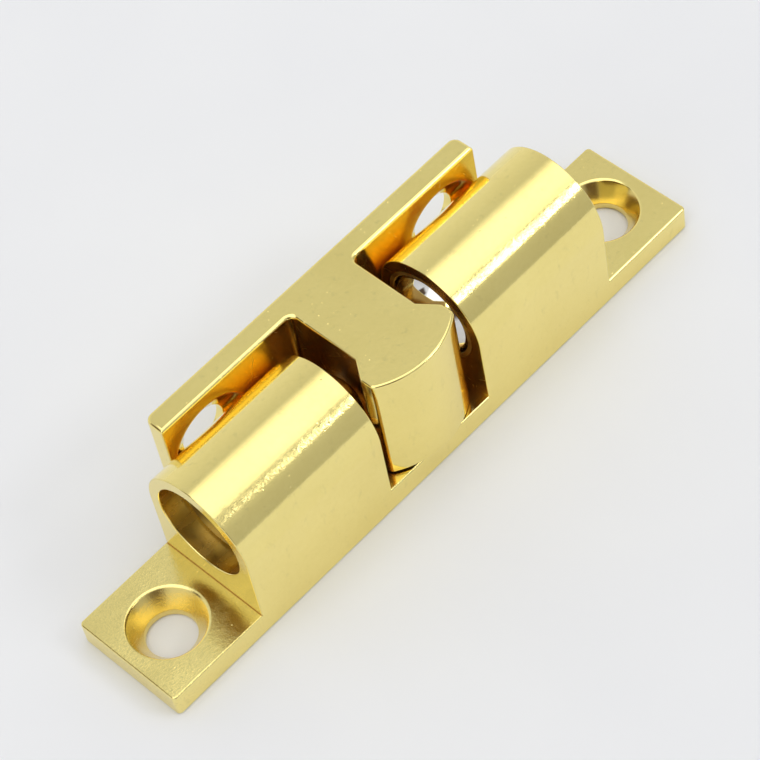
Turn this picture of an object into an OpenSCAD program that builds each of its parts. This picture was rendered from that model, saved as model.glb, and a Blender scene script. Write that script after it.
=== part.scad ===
// Double ball catch: a two-barrel housing, a tee-shaped strike and two sprung balls.
// X runs along the barrels, Y points to the strike's plate and Z is up.
// The middle of the base plate's underside is the origin, and the catch is shown closed.

/* [Base plate] */
// Width of the base plate, and of the barrels that stand on it
plate_width = 10.8; // [9.5:0.1:12.5]
// Thickness of the base plate
plate_thickness = 2.4; // [2.1:0.1:3]
// Length of the tab at each end
tab_length = 9.6; // [8.5:0.1:12]
// Radius of the base plate's upright corners
plate_corner = 0.4; // [0.2:0.05:1]
// Distance of a fixing hole from the middle of its tab, outwards
fixing_shift = 0.3; // [0:0.1:0.6]
// Diameter of the fixing holes
fixing_hole = 4.2; // [3:0.1:4.6]
// Diameter of the fixing holes' countersinks
fixing_sink = 6.6; // [5.6:0.1:7]
// Depth of the fixing holes' countersinks
fixing_sink_depth = 1.8; // [0.8:0.1:1.9]

/* [Barrels] */
// Length of each barrel
barrel_length = 14.7; // [13.5:0.1:18]
// Gap between the barrels
barrel_gap = 11.4; // [10.5:0.1:13]
// Height of the barrels' axis above the base
axis_height = 9; // [8:0.1:10]
// Wall of the barrels at their crown
barrel_wall = 1.1; // [0.8:0.05:1.3]
// Length of the lip that keeps a ball in
lip_length = 0.4; // [0.3:0.05:0.6]
// Length of the cone between the lip and the bore
lip_cone = 0.4; // [0.2:0.05:0.6]

/* [Balls] */
// Clearance around a ball in its bore
ball_clearance = 0.15; // [0.05:0.05:0.3]
// How far a ball stands out of its barrel when the catch is closed
ball_reach = 2.15; // [1.9:0.05:2.4]
// How much further a ball can come out before its lip stops it
ball_play = 0.35; // [0.2:0.05:0.5]
// Gap between a ball and the strike when the catch is closed
ball_gap = 0.15; // [0.1:0.05:0.2]

/* [Strike] */
// Length of the strike's plate
strike_length = 35.2; // [32:0.1:40]
// Thickness of the strike's plate
strike_thickness = 2.1; // [1.6:0.1:2.6]
// Gap between the strike's plate and the barrels
strike_clearance = 0.15; // [0.1:0.05:0.6]
// Gap between the strike and the base plate
strike_lift = 0.25; // [0.15:0.05:0.5]
// How far the strike's top lies below the barrels' crown
strike_drop = 0.2; // [0:0.05:0.6]
// Radius of the fillets between the plate and the neck
neck_fillet = 0.7; // [0.5:0.1:1.2]
// Angle between the flare and the neck
flare_angle = 35.5; // [32:0.5:38]
// Gap between the head and each barrel
head_clearance = 1.1; // [0.9:0.05:1.4]
// Radius of the head's round nose
nose_radius = 7.6; // [7:0.1:12]
// How far the nose stands out past the base plate
nose_reach = 0.5; // [0:0.05:0.8]
// Radius of the head's rounded corners
head_corner = 0.6; // [0.4:0.05:0.7]
// Radius of the plate's outer corners
strike_corner = 0.8; // [0.3:0.05:1.2]
// Distance of a screw hole from its end of the strike's plate
strike_hole_inset = 4.35; // [4.25:0.05:5.5]
// Height of the screw holes above the middle of the strike's plate
strike_hole_rise = 0.3; // [0:0.05:0.6]
// Diameter of the strike's screw holes
strike_hole = 4.3; // [3.6:0.1:5]
// Diameter of the strike's countersinks
strike_sink = 8; // [6.6:0.1:8.4]
// Depth of the strike's countersinks
strike_sink_depth = 1.2; // [0.7:0.05:1.4]

/* [Springs and adjusters] */
// Distance from a barrel's outer end to the adjuster's face
adjuster_recess = 1.95; // [1.6:0.05:2.3]
// Thickness of the adjusters
adjuster_thickness = 2.2; // [1.8:0.1:2.6]
// Clearance around an adjuster in its bore
adjuster_clearance = 0.05; // [0.02:0.01:0.1]
// Chamfer around an adjuster's face
adjuster_chamfer = 0.4; // [0.2:0.05:0.6]
// Width of the screwdriver slot
slot_width = 1.2; // [0.8:0.1:1.6]
// Depth of the screwdriver slot
slot_depth = 1; // [0.6:0.1:1.2]
// Diameter of the spring wire
spring_wire = 0.7; // [0.5:0.05:0.9]
// Mean diameter of the springs
spring_diameter = 6.2; // [5.6:0.1:6.8]
// Number of turns in each spring
spring_turns = 3.5; // [3:0.25:4]
// Gap at each end of a spring
spring_gap = 0.1; // [0.05:0.01:0.2]

/* [Hidden] */
$fn = 96;
cut = 1;
ease = 0.002;
barrel_r = plate_width / 2;
bore_r = barrel_r - barrel_wall;
barrel_in = barrel_gap / 2;
barrel_out = barrel_in + barrel_length;
plate_end = barrel_out + tab_length;
fixing_x = barrel_out + tab_length / 2 + fixing_shift;
crown = axis_height + barrel_r;

// A ball, its lip and the mouth that the lip leaves open
ball_r = bore_r - ball_clearance;
ball_x = barrel_in + ball_r - ball_reach;
lip_from_ball = ball_r - ball_reach - ball_play - lip_length;
mouth_r = sqrt(ball_r * ball_r - lip_from_ball * lip_from_ball);

// The strike's section: the neck and the flare touch a ball along two lines at once
neck_half = barrel_in - ball_reach - ball_gap;
head_half = barrel_in - head_clearance;
flare_top = -(ball_r + ball_gap) * tan(flare_angle / 2);
flare_end = flare_top - (head_half - neck_half) / tan(flare_angle);
shoulder = head_corner * tan(flare_angle / 2);
nose_y = nose_radius - barrel_r - nose_reach;
corner_y = nose_y - sqrt(pow(nose_radius - head_corner, 2) - pow(head_half - head_corner, 2));
cheek_angle = atan2(nose_y - corner_y, head_half - head_corner);
strike_in = barrel_r + strike_clearance;
strike_back = strike_in + strike_thickness;
strike_low = plate_thickness + strike_lift;
strike_high = crown - strike_drop;
strike_hole_x = strike_length / 2 - strike_hole_inset;
strike_hole_z = (strike_low + strike_high) / 2 + strike_hole_rise;

// A spring sits between its ball and its adjuster
adjuster_out = barrel_out - adjuster_recess;
adjuster_in = adjuster_out - adjuster_thickness;
adjuster_r = bore_r - adjuster_clearance;
wire_r = spring_wire / 2;
coil_r = spring_diameter / 2;
coil_start = ball_x + sqrt(pow(ball_r + wire_r, 2) - coil_r * coil_r) + spring_gap;
coil_end = adjuster_in - wire_r - spring_gap;
coil_length = coil_end - coil_start;
closed_turns = 0.75;
closed_pitch = spring_wire * 1.02;
wire_sides = 8;
wire_rings = ceil(spring_turns * 20);

gold = [0.83, 0.70, 0.36];
brass = [0.74, 0.60, 0.28];
steel = [0.78, 0.79, 0.80];
wire = [0.62, 0.63, 0.65];

// Places the children on the left barrel's axis or on the right one's
module on_barrel(left) {
    translate([0, 0, axis_height])
        rotate([0, 0, left ? 180 : 0])
            children();
}

// The extruded section of the housing, in Y and Z
module housing_section() {
    translate([-barrel_r, 0])
        square([plate_width, axis_height]);
    translate([0, axis_height])
        circle(barrel_r);
}

// A countersunk hole that opens along +Z at the top of a wall
module sunk_hole(wall, hole, sink, depth) {
    translate([0, 0, -wall - cut])
        cylinder(d = hole, h = wall + 2 * cut);
    translate([0, 0, -depth])
        cylinder(d1 = hole, d2 = sink, h = depth);
    cylinder(d = sink, h = cut);
}

// Everything that is bored out of one barrel, along +X
module barrel_bore() {
    bore_start = barrel_in + lip_length + lip_cone;
    rotate([0, 90, 0]) {
        translate([0, 0, barrel_in - cut])
            cylinder(r = mouth_r, h = lip_length + lip_cone + 2 * cut);
        translate([0, 0, barrel_in + lip_length])
            cylinder(r1 = mouth_r, r2 = bore_r, h = lip_cone);
        translate([0, 0, bore_start])
            cylinder(r = bore_r, h = barrel_out - bore_start + cut);
    }
}

// A corner to cut away so that it turns round: a wedge between two directions, less a circle
// that is a hair larger, so that it crosses the corner's sides and doesn't only touch them
module corner_cut(radius, from, to) {
    reach = 3 * radius;
    difference() {
        polygon([
            [0, 0],
            reach * [cos(from), sin(from)],
            1.5 * reach * [cos((from + to) / 2), sin((from + to) / 2)],
            reach * [cos(to), sin(to)]
        ]);
        circle(radius + ease);
    }
}

module housing() {
    color(gold)
        difference() {
            translate([-plate_end, 0, 0])
                rotate([90, 0, 90])
                    linear_extrude(2 * plate_end)
                        housing_section();
            translate([-barrel_in, -barrel_r - cut, plate_thickness])
                cube([barrel_gap, plate_width + 2 * cut, crown]);
            for (side = [0, 1])
                mirror([side, 0, 0])
                    translate([barrel_out, -barrel_r - cut, plate_thickness])
                        cube([tab_length + cut, plate_width + 2 * cut, crown]);
            for (left = [true, false])
                on_barrel(left)
                    barrel_bore();
            for (side = [-1, 1])
                translate([side * fixing_x, 0, plate_thickness])
                    sunk_hole(plate_thickness, fixing_hole, fixing_sink, fixing_sink_depth);
            for (end = [0, 1], side = [0, 1])
                mirror([end, 0, 0])
                    mirror([0, side, 0])
                        translate([plate_end - plate_corner, barrel_r - plate_corner, -cut])
                            linear_extrude(plate_thickness + 2 * cut)
                                corner_cut(plate_corner, 0, 90);
        }
}

// The strike's plate in X and Y, with rounded outer corners and room for the neck's fillets
module strike_plate_section() {
    difference() {
        translate([-strike_length / 2, strike_in])
            square([strike_length, strike_thickness]);
        for (side = [0, 1])
            mirror([side, 0])
                translate([strike_length / 2 - strike_corner, strike_back - strike_corner])
                    corner_cut(strike_corner, 0, 90);
    }
}

// The strike's neck, flare and head in X and Y, with a round nose
module strike_head_section() {
    outline = [
        [neck_half + neck_fillet, strike_in + strike_thickness / 2],
        [neck_half + neck_fillet, strike_in - neck_fillet],
        [neck_half, strike_in - neck_fillet],
        [neck_half, flare_top],
        [head_half, flare_end],
        [head_half, -barrel_r - nose_reach - cut]
    ];
    difference() {
        intersection() {
            polygon(concat(outline, [for (i = [len(outline) - 1 : -1 : 0]) [-outline[i][0], outline[i][1]]]));
            union() {
                translate([0, nose_y])
                    circle(nose_radius);
                translate([-nose_radius, nose_y])
                    square(2 * nose_radius);
            }
        }
        for (side = [0, 1])
            mirror([side, 0]) {
                translate([neck_half + neck_fillet, strike_in - neck_fillet])
                    circle(neck_fillet);
                translate([head_half - head_corner, flare_end - shoulder])
                    corner_cut(head_corner, 0, flare_angle);
                translate([head_half - head_corner, corner_y])
                    corner_cut(head_corner, -cheek_angle, 0);
            }
    }
}

module strike() {
    color(gold)
        difference() {
            translate([0, 0, strike_low]) {
                linear_extrude(strike_high - strike_low)
                    strike_plate_section();
                linear_extrude(strike_high - strike_low)
                    strike_head_section();
            }
            for (side = [-1, 1])
                translate([side * strike_hole_x, strike_in, strike_hole_z])
                    rotate([90, 0, 0])
                        sunk_hole(strike_thickness, strike_hole, strike_sink, strike_sink_depth);
        }
}

module ball() {
    translate([ball_x, 0, 0])
        sphere(ball_r);
}

// Place along the axis of the wire's middle after a number of turns from the ball's end
function coil_x(u) =
    u < closed_turns ? coil_start + u * closed_pitch :
    u > spring_turns - closed_turns ? coil_end - (spring_turns - u) * closed_pitch :
    coil_start + closed_turns * closed_pitch
        + (u - closed_turns) * (coil_length - 2 * closed_turns * closed_pitch)
        / (spring_turns - 2 * closed_turns);

function wire_point(u, side) =
    let (turn = 360 * u)
    let (around = 360 * side / wire_sides)
    let (reach = coil_r + wire_r * cos(around))
    [coil_x(u) + wire_r * sin(around), reach * cos(turn), reach * sin(turn)];

module spring() {
    points = [for (i = [0 : wire_rings]) for (j = [0 : wire_sides - 1])
        wire_point(spring_turns * i / wire_rings, j)];
    walls = [for (i = [0 : wire_rings - 1]) for (j = [0 : wire_sides - 1])
        let (k = (j + 1) % wire_sides)
        let (a = i * wire_sides)
        let (b = (i + 1) * wire_sides)
        each [[a + j, a + k, b + k], [a + j, b + k, b + j]]];
    start = [for (j = [wire_sides - 1 : -1 : 0]) j];
    end = [for (j = [0 : wire_sides - 1]) wire_rings * wire_sides + j];
    polyhedron(points, concat(walls, [start, end]));
}

// A slotted screw with a chamfered face that looks along +X
module adjuster() {
    difference() {
        rotate([0, 90, 0]) {
            translate([0, 0, adjuster_in])
                cylinder(r = adjuster_r, h = adjuster_thickness - adjuster_chamfer);
            translate([0, 0, adjuster_out - adjuster_chamfer])
                cylinder(r1 = adjuster_r, r2 = adjuster_r - adjuster_chamfer, h = adjuster_chamfer);
        }
        translate([adjuster_out - slot_depth, -bore_r - cut, -slot_width / 2])
            cube([slot_depth + cut, 2 * (bore_r + cut), slot_width]);
    }
}

module ball_left() {
    color(steel)
        on_barrel(true)
            ball();
}

module ball_right() {
    color(steel)
        on_barrel(false)
            ball();
}

module spring_left() {
    color(wire)
        on_barrel(true)
            spring();
}

module spring_right() {
    color(wire)
        on_barrel(false)
            spring();
}

module adjuster_left() {
    color(brass)
        on_barrel(true)
            adjuster();
}

module adjuster_right() {
    color(brass)
        on_barrel(false)
            adjuster();
}

housing();
strike();
ball_left();
ball_right();
spring_left();
spring_right();
adjuster_left();
adjuster_right();
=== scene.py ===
"""Looks for the ball catch: plated housing and strike, steel balls, springs and slotted adjusters."""

import math

import bpy
from mathutils import Matrix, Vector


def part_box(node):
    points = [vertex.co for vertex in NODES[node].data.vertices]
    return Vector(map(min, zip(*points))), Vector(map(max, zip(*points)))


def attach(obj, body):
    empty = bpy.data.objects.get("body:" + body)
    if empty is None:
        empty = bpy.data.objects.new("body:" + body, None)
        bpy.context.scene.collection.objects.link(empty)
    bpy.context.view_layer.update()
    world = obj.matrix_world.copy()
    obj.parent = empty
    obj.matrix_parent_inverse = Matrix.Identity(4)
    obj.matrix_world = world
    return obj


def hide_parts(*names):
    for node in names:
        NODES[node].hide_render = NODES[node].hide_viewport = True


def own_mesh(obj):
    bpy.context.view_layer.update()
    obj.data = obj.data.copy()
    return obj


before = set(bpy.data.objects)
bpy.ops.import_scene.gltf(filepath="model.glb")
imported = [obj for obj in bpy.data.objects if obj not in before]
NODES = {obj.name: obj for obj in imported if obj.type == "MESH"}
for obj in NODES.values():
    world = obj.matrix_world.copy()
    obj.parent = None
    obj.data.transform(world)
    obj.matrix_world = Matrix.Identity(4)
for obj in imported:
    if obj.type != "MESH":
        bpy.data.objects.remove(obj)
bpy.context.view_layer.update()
MM = 0.001
MICRON = 1e-6

scene = bpy.context.scene
scene.view_settings.view_transform = "Standard"
# Light goes back and forth many times between the strike and the barrels
BOUNCES = 20
scene.cycles.max_bounces = BOUNCES
scene.cycles.glossy_bounces = BOUNCES


# Places on the part, in millimetres: from the CAD boxes, else as in the part's source

def box_mm(node):
    """Low and high corner of a CAD node, in millimetres to the nearest micron."""
    return [[round(v / MM, 3) for v in corner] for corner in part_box(node)]


AXIS_Z = sum(corner[2] for corner in box_mm("adjuster_left")) / 2
BARREL_R = box_mm("housing")[1][1]
STRIKE_TOP = box_mm("strike")[1][2]
BORE_R = 4.3
BARREL_IN = 5.7
BARREL_OUT = 20.4
PLATE_TOP = 2.4
STRIKE_IN = 5.55
HEAD_HALF = 4.6
FLARE_END = -3.05
HOLE_X = 25.5
SINK_R = 3.3


# Camera: at the photograph's viewing angle, with its place in millimetres and its angles in degrees

CAMERA_PLACE = (-85.021, -115.779, 201.951)
CAMERA_HEADING = -36.1206
CAMERA_TILT = 36.3237
CAMERA_ROLL = -12.8673
FOCAL_LENGTH = 145.345
SENSOR_WIDTH = 36.0


def rotation(degrees, axis):
    return Matrix.Rotation(math.radians(degrees), 4, axis)


def build_camera():
    lens = bpy.data.cameras.new("camera")
    lens.sensor_fit = "HORIZONTAL"
    lens.sensor_width = SENSOR_WIDTH
    lens.lens = FOCAL_LENGTH
    lens.clip_start = 10 * MM
    lens.clip_end = 20000 * MM
    camera = bpy.data.objects.new("camera", lens)
    scene.collection.objects.link(camera)
    place = Matrix.Translation([v * MM for v in CAMERA_PLACE])
    turn = rotation(CAMERA_HEADING, "Z") @ rotation(CAMERA_TILT, "X") @ rotation(CAMERA_ROLL, "Z")
    camera.matrix_world = place @ turn
    scene.camera = camera


build_camera()


# Small helpers for node trees

class Tree:
    """Adds nodes to a material, world or geometry tree and links them by name."""

    def __init__(self, tree):
        self.tree = tree

    def add(self, kind, inputs=None, **settings):
        node = self.tree.nodes.new(kind)
        for key, value in settings.items():
            setattr(node, key, value)
        for key, value in (inputs or {}).items():
            self.put(node.inputs[key], value)
        return node

    def put(self, socket, value):
        if isinstance(value, bpy.types.NodeSocket):
            self.tree.links.new(value, socket)
        elif isinstance(value, bpy.types.Node):
            self.tree.links.new(value.outputs[0], socket)
        else:
            socket.default_value = value

    def math(self, operation, a, b=0.0, c=0.0):
        node = self.add("ShaderNodeMath", operation=operation)
        for i, value in enumerate((a, b, c)):
            self.put(node.inputs[i], value)
        return node.outputs[0]

    def times(self, first, *others):
        for other in others:
            first = self.math("MULTIPLY", first, other)
        return first

    def total(self, terms):
        """Sum of (value, weight) pairs."""
        result = 0.0
        for value, weight in terms:
            result = self.math("MULTIPLY_ADD", value, weight, result)
        return result

    def step(self, value, low, high):
        """Smooth step from 0 at low to 1 at high; the other way round where low is above high."""
        node = self.add("ShaderNodeMapRange", interpolation_type="SMOOTHSTEP")
        rising = low < high
        ends = (low, high, 0.0, 1.0) if rising else (high, low, 1.0, 0.0)
        for key, number in zip(("From Min", "From Max", "To Min", "To Max"), ends):
            node.inputs[key].default_value = number
        self.put(node.inputs["Value"], value)
        return node.outputs["Result"]

    def between(self, value, low, high, soft):
        """1 between low and high, with smooth edges of the given width."""
        half = soft / 2
        rising = self.step(value, low - half, low + half)
        return self.times(rising, self.step(value, high + half, high - half))

    def ramp(self, value, stops):
        """Colour or grey by value, from (place, colour) stops."""
        node = self.add("ShaderNodeValToRGB", {"Fac": value})
        while len(node.color_ramp.elements) < len(stops):
            node.color_ramp.elements.new(0.5)
        for element, (place, colour) in zip(node.color_ramp.elements, stops):
            element.position = place
            grey = isinstance(colour, (int, float))
            element.color = (colour, colour, colour, 1) if grey else (*colour, 1)
        return node.outputs["Color"]

    def mix(self, factor, a, b, blend="MIX"):
        node = self.add("ShaderNodeMix", data_type="RGBA", blend_type=blend)
        self.put(node.inputs["Factor"], factor)
        self.put(node.inputs["A"], a)
        self.put(node.inputs["B"], b)
        return node.outputs["Result"]

    def noise(self, place, scale, detail=2.0, rough=0.5):
        node = self.add("ShaderNodeTexNoise", {
            "Vector": place, "Scale": scale, "Detail": detail, "Roughness": rough})
        return node.outputs["Fac"]

    def parts(self, vector):
        node = self.add("ShaderNodeSeparateXYZ", {"Vector": vector})
        return node.outputs["X"], node.outputs["Y"], node.outputs["Z"]


def new_material(name):
    material = bpy.data.materials.new(name)
    material.use_nodes = True
    tree = material.node_tree
    tree.nodes.clear()
    t = Tree(tree)
    out = t.add("ShaderNodeOutputMaterial")
    shader = t.add("ShaderNodeBsdfPrincipled")
    tree.links.new(shader.outputs[0], out.inputs["Surface"])
    return material, t, shader


def millimetres(t, stretch=(1, 1, 1), shift=0.0):
    """Object coordinates in millimetres, optionally stretched for drawn or turned marks."""
    place = t.add("ShaderNodeTexCoord").outputs["Object"]
    node = t.add("ShaderNodeMapping", {"Vector": place})
    node.inputs["Scale"].default_value = [s / MM for s in stretch]
    node.inputs["Location"].default_value = (shift, 0.7 * shift, 1.3 * shift)
    return node.outputs["Vector"]


def set_bump(t, shader, height):
    """Height is in microns."""
    bump = t.add("ShaderNodeBump", {"Height": height, "Strength": 1.0, "Distance": MICRON})
    t.put(shader.inputs["Normal"], bump)


# Materials

def speck_mask(t, mm, cell, share, radius):
    """Small round specks: one in some of the cells, where the cell's own random value is low."""
    cells = t.add("ShaderNodeTexVoronoi", {"Vector": mm, "Scale": 1 / cell}, feature="F1")
    pick = t.add("ShaderNodeSeparateColor", {"Color": cells.outputs["Color"]})
    rare = t.math("LESS_THAN", pick.outputs[0], share)
    size = t.math("MULTIPLY_ADD", pick.outputs[1], radius, radius * 0.5)
    reach = t.math("DIVIDE", t.math("MULTIPLY", cells.outputs["Distance"], cell), size)
    return t.times(rare, t.step(reach, 1.0, 0.0))


def hairline_mask(t, mm, cell, width):
    """Thin curved handling marks, broken up so that only short lengths are left."""
    warp = t.add("ShaderNodeTexNoise", {"Vector": mm, "Scale": 0.25, "Detail": 1.0})
    place = t.mix(0.6, mm, warp.outputs["Color"], "ADD")
    cells = {"Vector": place, "Scale": 1 / cell}
    edges = t.add("ShaderNodeTexVoronoi", cells, feature="DISTANCE_TO_EDGE")
    line = t.step(edges.outputs["Distance"], width / cell, 0.0)
    return t.times(line, t.step(t.noise(mm, 0.5, 2.0), 0.54, 0.62))


BRIGHT_GOLD = [(0.35, (0.925, 0.778, 0.284)), (0.65, (0.970, 0.826, 0.319))]
PIT_GOLD = (0.50, 0.38, 0.14, 1)
# Painted shade: darker gold for the barrels' mouth faces, the slot floor, the creases at the tabs' feet
# and the strike's neck
SHADE_GOLD = (0.60, 0.38, 0.11, 1)
# Painted shade: darker gold for the bores' walls, the countersinks and the strike plate's inner face
BORE_SHADE_GOLD = (0.82, 0.62, 0.20, 1)
OLIVE = (0.30, 0.28, 0.14, 1)
# Dark brown for flecks along the barrels' seam band and the edge of their highlight, partly marks and
# partly painted shade, and for a painted dark line on the barrel ends' rims
FLECK_SHADE_BROWN = (0.13, 0.115, 0.06, 1)
SHADE_BROWN = (0.15, 0.105, 0.04, 1)


def gold_finish(name, seed, drawn, zones):
    """Bright gold plating: colour drift, orange peel, drawn lines, pits, glints and hairlines.

    zones(t, mm) gives the masks of the places that aren't polished bright: a rough seam, dark flecks that
    are partly marks and partly painted shade, a grainy face, recesses with painted shade, and the bores,
    countersinks and the strike plate's inner face, darker with painted shade.
    """
    material, t, shader = new_material(name)
    mm = millimetres(t, shift=seed)
    seam, stains_and_shade, grain, dull_and_shaded, bore_and_shade = zones(t, millimetres(t))
    drift = t.noise(mm, 0.16, 3.0)
    mottle = t.noise(mm, 2.2, 4.0, 0.65)
    tarnish = t.step(t.noise(millimetres(t, (1.3, 1.3, 0.5), seed), 1.0, 4.0, 0.7), 0.56, 0.72)
    ripple = t.noise(mm, 0.45, 1.0)
    peel = t.noise(mm, 2.6, 3.0, 0.55)
    lines = t.noise(millimetres(t, drawn, seed), 1.0, 2.0, 0.6)
    flecks = t.noise(millimetres(t, (2.6, 14.0, 14.0), seed), 1.0, 4.0, 0.7)
    grit = t.noise(mm, 6.5, 3.0, 0.65)
    pits = speck_mask(t, mm, cell=0.7, share=0.25, radius=0.06)
    glints = speck_mask(t, mm, cell=0.55, share=0.45, radius=0.09)
    glints = t.times(glints, t.step(t.noise(mm, 0.22, 2.0), 0.41, 0.55))
    hairs = hairline_mask(t, mm, cell=4.0, width=0.035)

    shade = t.total([(drift, 0.6), (mottle, 0.4)])
    colour = t.ramp(shade, BRIGHT_GOLD)
    colour = t.mix(t.times(tarnish, 0.12), colour, OLIVE)
    colour = t.mix(t.times(pits, 0.35), colour, PIT_GOLD)
    # Dark flecks: partly marks, partly painted shade at the highlight's ragged edge
    colour = t.mix(t.times(stains_and_shade, t.step(flecks, 0.40, 0.62), 0.55), colour, FLECK_SHADE_BROWN)
    colour = t.mix(t.times(grain, t.step(grit, 0.50, 0.70), 0.25), colour, OLIVE)
    # Painted shade in recesses and creases and on the strike's neck
    colour = t.mix(dull_and_shaded, colour, SHADE_GOLD)
    # Painted shade in the bores and countersinks and on the strike plate's inner face, with painted
    # reflection bands in the bores
    colour = t.mix(bore_and_shade, colour, BORE_SHADE_GOLD)
    rough = t.total([(peel, 0.05), (drift, 0.03), (pits, 0.10), (hairs, 0.10), (seam, 0.05),
                     (grain, 0.06), (dull_and_shaded, 0.15), (bore_and_shade, 0.18), (1.0, 0.065)])
    height = t.total([(ripple, 5.0), (peel, 2.2), (lines, 2.2), (pits, -4.0), (glints, -16.0),
                      (t.times(seam, flecks), 8.0), (t.times(grain, grit), 18.0)])
    t.put(shader.inputs["Base Color"], colour)
    shader.inputs["Metallic"].default_value = 1.0
    t.put(shader.inputs["Roughness"], rough)
    set_bump(t, shader, height)
    return material


# Angles around the barrels, from the front: low, high, and the softness of both edges
SEAM = tuple(map(math.radians, (52.0, 57.5, 6.5)))
# Band just above the right barrel's strip reflection, where dark flecks are painted as the reflection's
# ragged edge
HIGHLIGHT_EDGE = tuple(map(math.radians, (56.6, 58.6, 0.8)))


def housing_zones(t, mm):
    """Seams of the barrels with a painted dark line on their rims, the left tab's grainy face, and
    recesses, bores and countersinks darkened as painted shade.
    """
    x, y, z = t.parts(mm)
    out = t.math("ABSOLUTE", x)
    rise = t.math("SUBTRACT", z, AXIS_Z)
    radius = t.math("SQRT", t.math("ADD", t.times(y, y), t.times(rise, rise)))
    angle = t.math("ARCTAN2", rise, t.math("MULTIPLY", y, -1.0))
    above = t.step(z, PLATE_TOP + 0.1, PLATE_TOP + 0.2)

    wander = t.total([(t.noise(mm, 0.9, 2.0), 0.12), (t.noise(mm, 4.0, 2.0), 0.14), (1.0, -0.13)])
    seam = t.between(t.math("ADD", angle, wander), *SEAM)
    patchy = t.math("MULTIPLY_ADD", t.step(t.noise(mm, 1.1, 2.0), 0.32, 0.55), 0.7, 0.3)
    outside = t.times(t.step(radius, BARREL_R - 0.08, BARREL_R - 0.04),
                      t.step(out, BARREL_OUT - 0.02, BARREL_OUT - 0.1))
    seam = t.times(seam, outside, patchy)
    right = t.step(x, -2.0, 2.0)
    rougher = t.math("ADD", right, 0.85)
    # On the right barrel the dark flecks lie only in this narrow band along the highlight: painted shade
    narrow = t.times(t.between(angle, *HIGHLIGHT_EDGE), outside, patchy)
    stains_and_shade = t.mix(right, seam, narrow)
    over = t.math("MAXIMUM", rise, 0.0)
    spread = t.math("SQRT", t.math("ADD", t.times(y, y), t.times(over, over)))
    # A dark line painted along the outer rim of each barrel end, as shade beside the rim's highlight
    rim = t.times(t.between(out, BARREL_OUT - 0.09, BARREL_OUT + 0.06, 0.06), above,
                  t.step(spread, BARREL_R - 0.14, BARREL_R - 0.08))
    stains_and_shade = t.math("MAXIMUM", stains_and_shade, t.times(rim, 0.4))

    tab = t.times(t.step(x, -BARREL_OUT + 0.05, -BARREL_OUT - 0.05), t.step(z, 0.2, 0.6))
    grain = t.times(tab, t.math("MULTIPLY_ADD", t.step(t.noise(mm, 0.30, 2.0), 0.35, 0.65), 0.5, 0.5))

    # Painted shade: the barrels' mouth faces, the slot floor under the strike and the crease at each
    # tab's foot are coloured darker
    face = t.times(above, t.step(spread, BARREL_R - 0.08, BARREL_R - 0.16))
    floor = t.times(t.step(z, PLATE_TOP + 0.2, PLATE_TOP + 0.1),
                    t.step(z, PLATE_TOP - 0.1, PLATE_TOP - 0.03),
                    t.step(t.math("ABSOLUTE", y), BARREL_R - 0.1, BARREL_R - 1.1))
    dull_and_shaded = t.times(t.step(out, BARREL_IN + 0.05, BARREL_IN + 0.02), t.total([(face, 1.0), (floor, 1.0)]))
    foot = t.times(t.step(t.math("ABSOLUTE", t.math("SUBTRACT", out, BARREL_OUT)), 0.12, 0.02),
                   t.step(t.math("ABSOLUTE", t.math("SUBTRACT", z, PLATE_TOP)), 0.12, 0.02))
    dull_and_shaded = t.math("MAXIMUM", dull_and_shaded, foot)
    # The bores' walls: darker gold as painted shade, in bands around the axis that paint the reflections
    # stretched along it
    bore_and_shade = t.times(t.step(radius, BORE_R + 0.10, BORE_R + 0.04), above,
                    t.step(out, BARREL_OUT - 0.12, BARREL_OUT - 0.2),
                    t.step(out, BARREL_IN - 0.05, BARREL_IN))
    around = t.add("ShaderNodeCombineXYZ", {"X": angle, "Y": t.times(x, 0.05)}).outputs[0]
    reflection_bands = t.math("MULTIPLY_ADD", t.step(t.noise(around, 3.0, 3.0), 0.35, 0.65), 0.6, 0.5)
    away = t.math("SUBTRACT", out, HOLE_X)
    from_hole = t.math("SQRT", t.math("ADD", t.times(away, away), t.times(y, y)))
    # The countersinks: half as dark, as painted shade in the recess
    sunk = t.times(t.step(from_hole, SINK_R + 0.1, SINK_R),
                   t.step(z, PLATE_TOP - 0.06, PLATE_TOP - 0.16), 0.5)
    return t.times(seam, rougher), stains_and_shade, grain, dull_and_shaded, t.math("MAXIMUM", t.times(bore_and_shade, reflection_bands), sunk)


def strike_zones(t, mm):
    """The neck, the flare and the plate's inner face, coloured darker as painted shade."""
    x, y, z = t.parts(mm)
    walls = t.times(t.step(z, STRIKE_TOP - 0.2, STRIKE_TOP - 0.3),
                    t.step(t.math("ABSOLUTE", x), HEAD_HALF + 0.15, HEAD_HALF))
    # Painted shade: the neck and flare are coloured darker
    neck = t.times(walls, t.step(y, FLARE_END - 0.25, FLARE_END + 0.25),
                   t.step(y, STRIKE_IN - 0.05, STRIKE_IN - 0.25))
    # The plate's inner face: darker gold as painted shade between the strike and the barrels
    inner = t.times(t.step(z, STRIKE_TOP - 0.2, STRIKE_TOP - 0.4),
                    t.between(y, STRIKE_IN - 0.1, STRIKE_IN + 0.15, 0.1), 0.7)
    return 0.0, 0.0, 0.0, neck, inner


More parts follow.
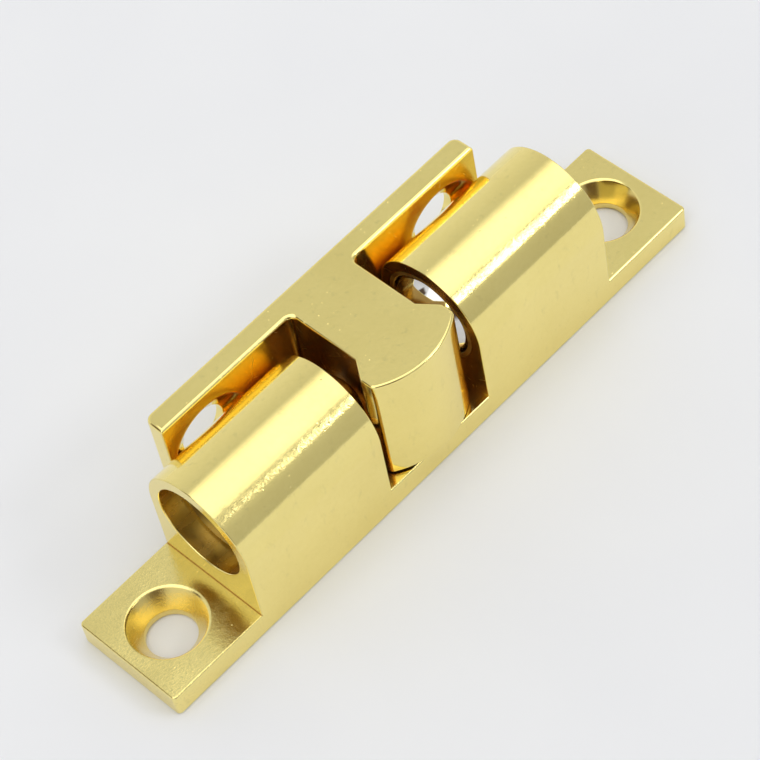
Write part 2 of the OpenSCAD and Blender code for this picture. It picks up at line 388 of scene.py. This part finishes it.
def polished_steel(name):
    """Mirror-polished ball: faint lapping marks and a few dust-sized pits."""
    material, t, shader = new_material(name)
    mm = millimetres(t)
    haze = t.noise(mm, 0.8, 3.0)
    lap = t.noise(mm, 12.0, 2.0, 0.6)
    specks = speck_mask(t, mm, cell=1.1, share=0.2, radius=0.04)
    colour = t.ramp(haze, [(0.3, (0.68, 0.67, 0.65)), (0.7, (0.76, 0.75, 0.73))])
    t.put(shader.inputs["Base Color"], colour)
    shader.inputs["Metallic"].default_value = 1.0
    t.put(shader.inputs["Roughness"], t.total([(haze, 0.06), (specks, 0.1), (1.0, 0.03)]))
    set_bump(t, shader, t.total([(lap, 0.5), (specks, -3.0)]))
    return material


def spring_steel(name):
    """Drawn spring wire: grey with drawing marks and darker oiled patches."""
    material, t, shader = new_material(name)
    mm = millimetres(t)
    oil = t.noise(mm, 1.3, 3.0)
    marks = t.noise(mm, 11.0, 3.0, 0.7)
    colour = t.ramp(oil, [(0.3, (0.34, 0.35, 0.37)), (0.7, (0.56, 0.57, 0.59))])
    t.put(shader.inputs["Base Color"], colour)
    shader.inputs["Metallic"].default_value = 1.0
    t.put(shader.inputs["Roughness"], t.total([(oil, 0.2), (1.0, 0.2)]))
    set_bump(t, shader, t.times(marks, 4.0))
    return material


def turned_brass(name):
    """Turned brass screw: rings around its axis and random tone, in a dark brown that is painted shade of
    the bore it sits in, darkest in the middle.
    """
    material, t, shader = new_material(name)
    mm = millimetres(t)
    _, y, z = t.parts(mm)
    rise = t.math("SUBTRACT", z, AXIS_Z)
    radius = t.math("SQRT", t.math("ADD", t.times(y, y), t.times(rise, rise)))
    wander = t.noise(mm, 0.6, 2.0)
    rings = t.math("SINE", t.total([(radius, 34.0), (wander, 5.0)]))
    stain = t.noise(mm, 0.9, 3.0)
    # Painted shade: the brass is coloured dark brown for the shade of the bore it sits in
    colour = t.ramp(stain, [(0.3, (0.24, 0.17, 0.06)), (0.7, (0.38, 0.28, 0.10))])
    # Painted shade, darkest in the middle
    middle = t.step(radius, 3.8, 0.4)
    colour = t.mix(middle, colour, SHADE_BROWN)
    t.put(shader.inputs["Base Color"], colour)
    shader.inputs["Metallic"].default_value = 1.0
    t.put(shader.inputs["Roughness"], t.total([(stain, 0.18), (1.0, 0.26)]))
    set_bump(t, shader, t.times(rings, 2.0))
    return material


# The housing is drawn along X and the strike along Z, as lengths of extruded bar
GOLD_HOUSING = gold_finish("gold_housing", seed=0.0, drawn=(0.05, 3.0, 3.0), zones=housing_zones)
GOLD_STRIKE = gold_finish("gold_strike", seed=37.0, drawn=(3.0, 3.0, 0.05), zones=strike_zones)
BALL_STEEL = polished_steel("ball_polish")
SPRING_STEEL = spring_steel("wire_steel")
BRASS = turned_brass("adjuster_turned")
LOOKS = {
    "housing": GOLD_HOUSING,
    "strike": GOLD_STRIKE,
    "ball_left": BALL_STEEL,
    "ball_right": BALL_STEEL,
    "spring_left": SPRING_STEEL,
    "spring_right": SPRING_STEEL,
    "adjuster_left": BRASS,
    "adjuster_right": BRASS,
}
for name, material in LOOKS.items():
    slots = NODES[name].data.materials
    slots.clear()
    slots.append(material)


# Edges: every sharp outer edge of the metal is rounded a little, so that it catches the light

def new_geometry(name):
    group = bpy.data.node_groups.new(name, "GeometryNodeTree")
    group.interface.new_socket("Geometry", in_out="INPUT", socket_type="NodeSocketGeometry")
    group.interface.new_socket("Geometry", in_out="OUTPUT", socket_type="NodeSocketGeometry")
    t = Tree(group)
    return group, t, t.add("NodeGroupInput").outputs[0]


def clean_group():
    """Joins the faces of a node's mesh and drops their stored normals, so that edges can be rounded."""
    group, t, last = new_geometry("join_faces")
    last = t.add("GeometryNodeMergeByDistance", {"Geometry": last, "Distance": 0.0005 * MM}).outputs[0]
    for attribute in ("custom_normal", "sharp_edge"):
        last = t.add("GeometryNodeRemoveAttribute", {"Geometry": last, "Name": attribute}).outputs[0]
    smooth = t.add("GeometryNodeSetShadeSmooth", {"Geometry": last, "Shade Smooth": True})
    t.add("NodeGroupOutput", {0: smooth.outputs[0]})
    return group


def weight_group(name, weigh):
    """Gives each convex edge its share of the rounding, from weigh(t, x, y, z) in millimetres."""
    group, t, start = new_geometry(name)
    angle = t.add("GeometryNodeInputMeshEdgeAngle").outputs["Signed Angle"]
    convex = t.math("GREATER_THAN", angle, math.radians(25.0))
    metres = t.add("GeometryNodeInputPosition")
    place = t.add("ShaderNodeVectorMath", {0: metres, "Scale": 1 / MM}, operation="SCALE")
    share = t.times(convex, weigh(t, *t.parts(place.outputs[0])))
    store = t.add("GeometryNodeStoreNamedAttribute", {"Geometry": start, "Name": "bevel_weight_edge"},
                  data_type="FLOAT", domain="EDGE")
    t.put(store.inputs["Value"], share)
    t.add("NodeGroupOutput", {0: store.outputs[0]})
    return group


def shade_group():
    """Keeps concave edges sharp, and plane faces that don't run into a curved one flat."""
    group, t, last = new_geometry("shade_faces")
    angles = t.add("GeometryNodeInputMeshEdgeAngle").outputs
    concave = t.math("LESS_THAN", angles["Signed Angle"], -math.radians(30.0))
    gentle = t.times(t.math("GREATER_THAN", angles["Unsigned Angle"], math.radians(0.4)),
                     t.math("LESS_THAN", angles["Unsigned Angle"], math.radians(9.0)))
    gentle = t.add("GeometryNodeFieldOnDomain", {"Value": gentle}, data_type="FLOAT", domain="EDGE")
    nx, ny, nz = (t.math("ABSOLUTE", n) for n in t.parts(t.add("GeometryNodeInputNormal")))
    square = t.math("GREATER_THAN", t.math("MAXIMUM", nx, t.math("MAXIMUM", ny, nz)), 0.99999)
    large = t.math("GREATER_THAN", t.add("GeometryNodeInputMeshFaceArea"), 0.5 * MM * MM)
    plane = t.times(square, large, t.math("LESS_THAN", gentle.outputs[0], 0.0001))
    for attribute, domain, value in (("sharp_edge", "EDGE", concave), ("sharp_face", "FACE", plane)):
        store = t.add("GeometryNodeStoreNamedAttribute", {"Geometry": last, "Name": attribute},
                      data_type="BOOLEAN", domain=domain)
        t.put(store.inputs["Value"], value)
        last = store.outputs[0]
    t.add("NodeGroupOutput", {0: last})
    return group


def housing_edges(t, x, y, z):
    return t.math("MULTIPLY_ADD", t.step(z, PLATE_TOP + 0.2, PLATE_TOP + 0.1), 0.4, 0.5)


def strike_edges(t, x, y, z):
    top = t.step(z, STRIKE_TOP - 0.2, STRIKE_TOP - 0.05)
    plate = t.step(y, STRIKE_IN - 0.8, STRIKE_IN - 0.3)
    return t.total([(top, 0.3), (t.times(top, plate), 0.3), (1.0, 0.4)])


def adjuster_edges(t, x, y, z):
    return 1.0


JOIN = clean_group()
SHADE = shade_group()
EDGE_SEGMENTS = 4


def round_edges(node, width, weigh):
    """Rounds a CAD node's convex edges by modifiers, up to width in millimetres."""
    piece = NODES[node]
    join = piece.modifiers.new("join", "NODES")
    join.node_group = JOIN
    flat = piece.modifiers.new("flat", "DECIMATE")
    flat.decimate_type = "DISSOLVE"
    flat.angle_limit = math.radians(0.15)
    weights = piece.modifiers.new("weights", "NODES")
    weights.node_group = weight_group(f"{node}_edges", weigh)
    bevel = piece.modifiers.new("edges", "BEVEL")
    bevel.width = width * MM
    bevel.segments = EDGE_SEGMENTS
    bevel.limit_method = "WEIGHT"
    bevel.use_clamp_overlap = False
    bevel.loop_slide = False
    bevel.miter_outer = "MITER_SHARP"
    shade = piece.modifiers.new("shade", "NODES")
    shade.node_group = SHADE
    normals = piece.modifiers.new("normals", "WEIGHTED_NORMAL")
    normals.weight = 60
    normals.keep_sharp = True


round_edges("housing", width=0.20, weigh=housing_edges)
round_edges("strike", width=0.30, weigh=strike_edges)
for side in ("left", "right"):
    round_edges(f"adjuster_{side}", width=0.06, weigh=adjuster_edges)


# Springs: round wire with closed ends, in place of the coarse solids

WIRE_R = 0.35
SPRING_TURNS = 3.5
CLOSED_TURNS = 0.75
CLOSED_PITCH = 2 * WIRE_R * 1.02
WIRE_SIDES = 16
STEPS_PER_TURN = 48


def coil_place(u, start, end):
    """Place along the axis after u turns: closed at both ends, open between."""
    closed = CLOSED_TURNS * CLOSED_PITCH
    if u < CLOSED_TURNS:
        return start + u * CLOSED_PITCH
    if u > SPRING_TURNS - CLOSED_TURNS:
        return end - (SPRING_TURNS - u) * CLOSED_PITCH
    share = (u - CLOSED_TURNS) / (SPRING_TURNS - 2 * CLOSED_TURNS)
    return start + closed + share * (end - start - 2 * closed)


def build_spring(side):
    node = f"spring_{side}"
    low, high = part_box(node)
    sign = -1 if side == "left" else 1
    near, far = sorted((abs(low[0]) / MM, abs(high[0]) / MM))
    coil_r = (high[1] - low[1]) / 2 / MM - WIRE_R
    start, end = near + WIRE_R, far - WIRE_R
    rings = round(SPRING_TURNS * STEPS_PER_TURN)
    points = []
    for i in range(rings + 1):
        u = SPRING_TURNS * i / rings
        turn_by = 2 * math.pi * u
        for j in range(WIRE_SIDES):
            around = 2 * math.pi * j / WIRE_SIDES
            reach = coil_r + WIRE_R * math.cos(around)
            x = coil_place(u, start, end) + WIRE_R * math.sin(around)
            y = reach * math.cos(turn_by)
            z = reach * math.sin(turn_by)
            points.append((sign * x * MM, sign * y * MM, (AXIS_Z + z) * MM))
    faces = []
    for i in range(rings):
        for j in range(WIRE_SIDES):
            k = (j + 1) % WIRE_SIDES
            a, b = i * WIRE_SIDES, (i + 1) * WIRE_SIDES
            faces.append((a + j, a + k, b + k, b + j))
    faces.append(tuple(reversed(range(WIRE_SIDES))))
    faces.append(tuple(rings * WIRE_SIDES + j for j in range(WIRE_SIDES)))
    mesh = bpy.data.meshes.new(f"coil_{side}")
    mesh.from_pydata(points, [], faces)
    mesh.polygons.foreach_set("use_smooth", [len(f) == 4 for f in faces])
    mesh.materials.append(SPRING_STEEL)
    coil = bpy.data.objects.new(f"coil_{side}", mesh)
    scene.collection.objects.link(coil)
    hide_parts(node)
    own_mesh(coil)
    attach(coil, node)


for side in ("left", "right"):
    build_spring(side)


# Stage: pale floor, soft studio light

FLOOR_HALF = 1500.0
# The floor lies a hair below the part, so that no two faces share a plane
FLOOR_DROP = 0.02
FLOOR_TINT = [(0.3, (0.80, 0.808, 0.828)), (0.7, (0.82, 0.828, 0.843))]


def build_floor():
    signs = ((-1, -1), (1, -1), (1, 1), (-1, 1))
    corners = [(x * FLOOR_HALF * MM, y * FLOOR_HALF * MM, 0) for x, y in signs]
    mesh = bpy.data.meshes.new("floor")
    mesh.from_pydata(corners, [], [(0, 1, 2, 3)])
    floor = bpy.data.objects.new("floor", mesh)
    floor.location.z = -FLOOR_DROP * MM
    scene.collection.objects.link(floor)
    material, t, shader = new_material("floor_paper")
    mm = millimetres(t)
    tint = t.ramp(t.noise(mm, 0.05, 2.0), FLOOR_TINT)
    t.put(shader.inputs["Base Color"], tint)
    shader.inputs["Roughness"].default_value = 0.65
    shader.inputs["Specular IOR Level"].default_value = 0.2
    mesh.materials.append(material)


SOFTBOX = 1.55
STRIP = (7.5, 7.5, 7.5, 1)
CARD = (0.12, 0.08, 0.05, 1)
# Dark cards: middle and half width in degrees around, lowest and highest z, softness
CARDS = (
    (143.0, 10.0, 0.46, 0.72, 0.08),
    (152.0, 10.0, 0.12, 0.44, 0.08),
    (-116.0, 19.0, 0.09, 0.62, 0.25),
)


def build_world():
    """A plain room of light: dim in front, paler behind, with a large softbox, a strip and dark cards."""
    world = bpy.data.worlds.new("studio")
    scene.world = world
    world.use_nodes = True
    world.node_tree.nodes.clear()
    t = Tree(world.node_tree)
    x, y, z = t.parts(t.add("ShaderNodeTexCoord").outputs["Generated"])
    # Where a direction meets a level sheet at height 1, on which the lamps have straight edges
    up = t.math("MAXIMUM", z, 0.01)
    across = t.math("DIVIDE", x, up)
    along = t.math("DIVIDE", y, up)
    turned = t.math("ARCTAN2", y, x)

    back_tone = t.ramp(z, [(0.0, 0.84), (0.25, 0.80), (0.6, 0.72), (0.8, 0.65), (1.0, 0.62)])
    front_tone = t.ramp(z, [(0.0, 0.50), (0.45, 0.54), (0.7, 0.67), (1.0, 0.62)])
    left_tone = t.ramp(z, [(0.0, 0.75), (0.35, 0.75), (0.75, 0.95), (1.0, 0.85)])
    tone = t.mix(t.step(y, 0.05, -0.05), back_tone, front_tone)
    tone = t.mix(t.step(x, -0.25, -0.55), tone, left_tone)

    back = t.math("MULTIPLY_ADD", across, 0.8, along)
    slant = t.math("MULTIPLY_ADD", across, -2.0, along)
    corner = t.times(t.step(along, 0.30, 0.45), t.step(slant, -0.14, -0.08))
    box_along = t.times(t.step(along, -0.70, -0.56), t.step(back, 1.01, 0.45),
                        t.math("SUBTRACT", 1.0, corner))
    box_across = t.times(t.step(across, -2.6, -1.6), t.step(across, 1.2, 0.7))
    glow = t.ramp(t.step(along, -0.60, -0.30), [(0.0, 0.85 * SOFTBOX), (1.0, SOFTBOX)])
    tone = t.mix(t.times(box_along, box_across), tone, glow)

    strip = t.times(t.between(along, -1.14, -0.76, 0.06), t.between(across, 0.53, 1.0, 0.06))
    tone = t.mix(strip, tone, STRIP)
    for middle, half, low, high, soft in CARDS:
        sideways = t.between(turned, math.radians(middle - half), math.radians(middle + half), soft)
        tone = t.mix(t.times(sideways, t.between(z, low, high, soft)), tone, CARD)
    shader = t.add("ShaderNodeBackground", {"Color": tone, "Strength": 1.0})
    out = t.add("ShaderNodeOutputWorld")
    world.node_tree.links.new(shader.outputs[0], out.inputs["Surface"])


build_floor()
build_world()
